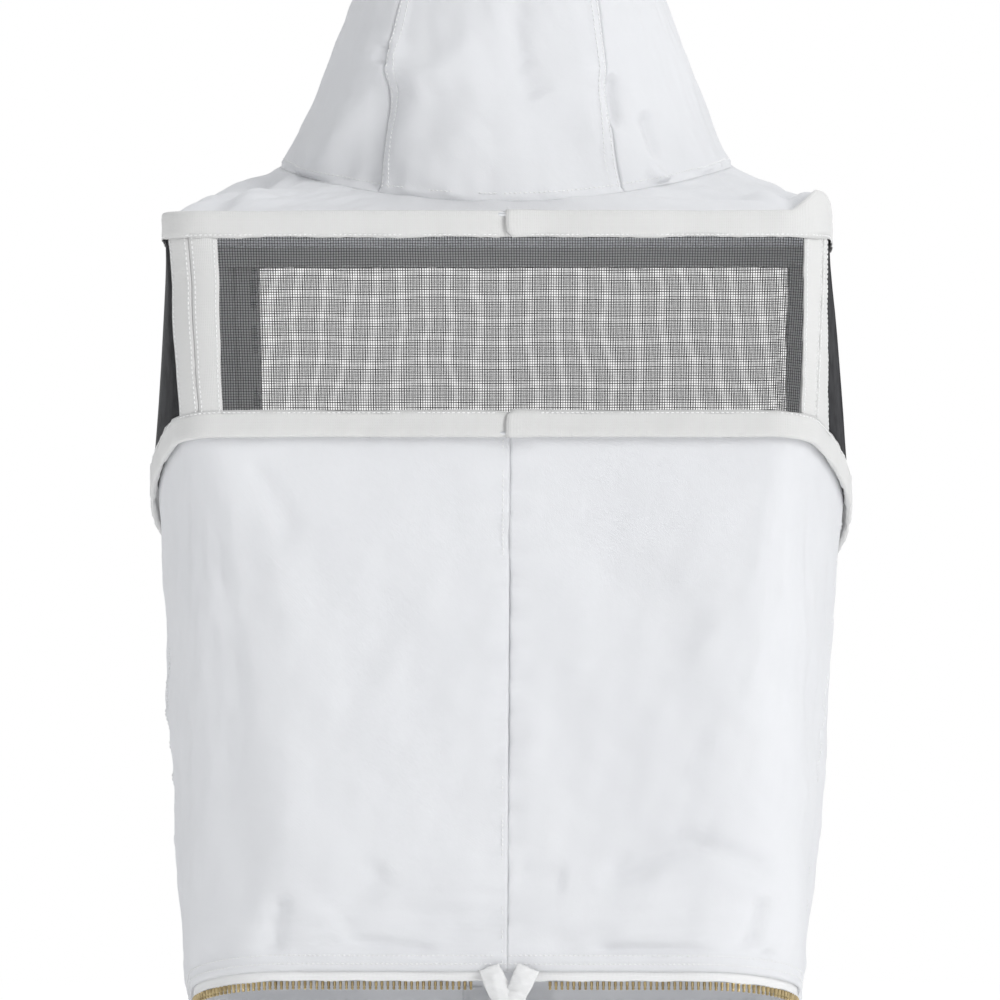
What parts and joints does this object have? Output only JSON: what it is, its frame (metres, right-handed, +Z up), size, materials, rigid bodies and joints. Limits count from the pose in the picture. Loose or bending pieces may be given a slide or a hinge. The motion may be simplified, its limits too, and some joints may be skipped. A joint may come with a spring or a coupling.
{
  "type": "beekeeper's folding veil",
  "caption": "Square folding bee veil with wire hoops, mesh on all sides, a cotton crown and brim, and a cape that zips to a beekeeping suit.",
  "frame": {"origin": "below the middle of the hoops, level with the lowest point of the front zip", "axes": "+Z up as worn, -Y the back of the head, +Y the face, +X the wearer's right"},
  "size_m": [0.4422, 0.4076, 0.748],
  "materials": {
    "cotton": "white cotton twill",
    "binding_tape": "off-white woven tape, stitched at both edges",
    "zip_tape": "white woven zip tape",
    "elastic": "white terry over elastic",
    "hook_tape": "white hook tape",
    "veil_mesh": "black coated open mesh",
    "spring_wire": "bright spring steel",
    "ferrule": "crimped",
    "zip_metal": "polished"
  },
  "bodies": {
    "collar": {"cape_back_left": "cotton", "cape_back_right": "cotton", "cape_front": "cotton", "zip_tape_left": "zip_tape", "zip_tape_right": "zip_tape", "zip_teeth_left": "zip_metal", "zip_teeth_right": "zip_metal", "zip_end_tab_left": "zip_tape", "zip_end_tab_right": "zip_tape", "zip_box_left": "zip_metal", "zip_box_right": "zip_metal"},
    "lower_hoop": {"lower_hoop_wire": "spring_wire", "lower_hoop_ferrule": "ferrule", "lower_hoop_binding": "binding_tape"},
    "upper_frame": {"upper_hoop_wire": "spring_wire", "upper_hoop_ferrule": "ferrule", "upper_hoop_binding": "binding_tape", "brim": "cotton", "sweatband": "elastic", "crown_back_panel": "cotton", "crown_left_panel": "cotton", "crown_right_panel": "cotton", "crown_front_panel": "cotton", "back_mesh": "veil_mesh", "left_mesh": "veil_mesh", "right_mesh": "veil_mesh", "front_mesh": "veil_mesh", "corner_strips_back_left": "binding_tape", "corner_strips_back_right": "binding_tape", "corner_strips_front_left": "binding_tape", "corner_strips_front_right": "binding_tape"},
    "crown_cap": {"crown_top": "cotton"},
    "slider_l": {"slider_left": "zip_metal"},
    "slider_r": {"slider_right": "zip_metal"},
    "pull_l": {"pull_left": "zip_metal"},
    "pull_r": {"pull_right": "zip_metal"},
    "flap": {"throat_flap": "cotton", "hook_patch": "hook_tape"}
  },
  "joints": [
    {"name": "cape_fold", "type": "slide", "parent": "collar", "child": "lower_hoop", "axis": [0, 0, 1], "range_m": [-0.2, 0], "stiffness_N_per_m": 25, "springref_m": 0.25, "deforming": ["cape_back_left", "cape_back_right", "cape_front"]},
    {"name": "veil_fold", "type": "hinge", "parent": "lower_hoop", "child": "upper_frame", "pos_m": [0, -0.6193, 0.4536], "axis": [1, 0, 0], "range_deg": [-14, 0], "stiffness_Nm_per_rad": 2.5, "springref_deg": 60.16, "deforming": ["back_mesh", "left_mesh", "right_mesh", "front_mesh", "corner_strips_back_left", "corner_strips_back_right", "corner_strips_front_left", "corner_strips_front_right"]},
    {"name": "crown_press", "type": "slide", "parent": "upper_frame", "child": "crown_cap", "axis": [0, 0, 1], "range_m": [-0.08, 0], "stiffness_N_per_m": 10, "springref_m": 0.08, "deforming": ["crown_back_panel", "crown_left_panel", "crown_right_panel", "crown_front_panel"]},
    {"name": "slider_travel_left", "type": "slide", "parent": "collar", "child": "slider_l", "axis": [-1, 0, 0], "range_m": [0, 0.065]},
    {"name": "slider_travel_right", "type": "slide", "parent": "collar", "child": "slider_r", "axis": [1, 0, 0], "range_m": [0, 0.065]},
    {"name": "pull_swing_left", "type": "hinge", "parent": "slider_l", "child": "pull_l", "pos_m": [-0.044, 0.164, 0.0055], "axis": [0, 0, -1], "range_deg": [0, 150]},
    {"name": "pull_swing_right", "type": "hinge", "parent": "slider_r", "child": "pull_r", "pos_m": [0.044, 0.164, 0.0055], "axis": [0, 0, 1], "range_deg": [0, 150]},
    {"name": "flap_lift", "type": "hinge", "parent": "collar", "child": "flap", "pos_m": [0, 0.1708, 0.0625], "axis": [1, 0, 0], "range_deg": [0, 110]}
  ]
}
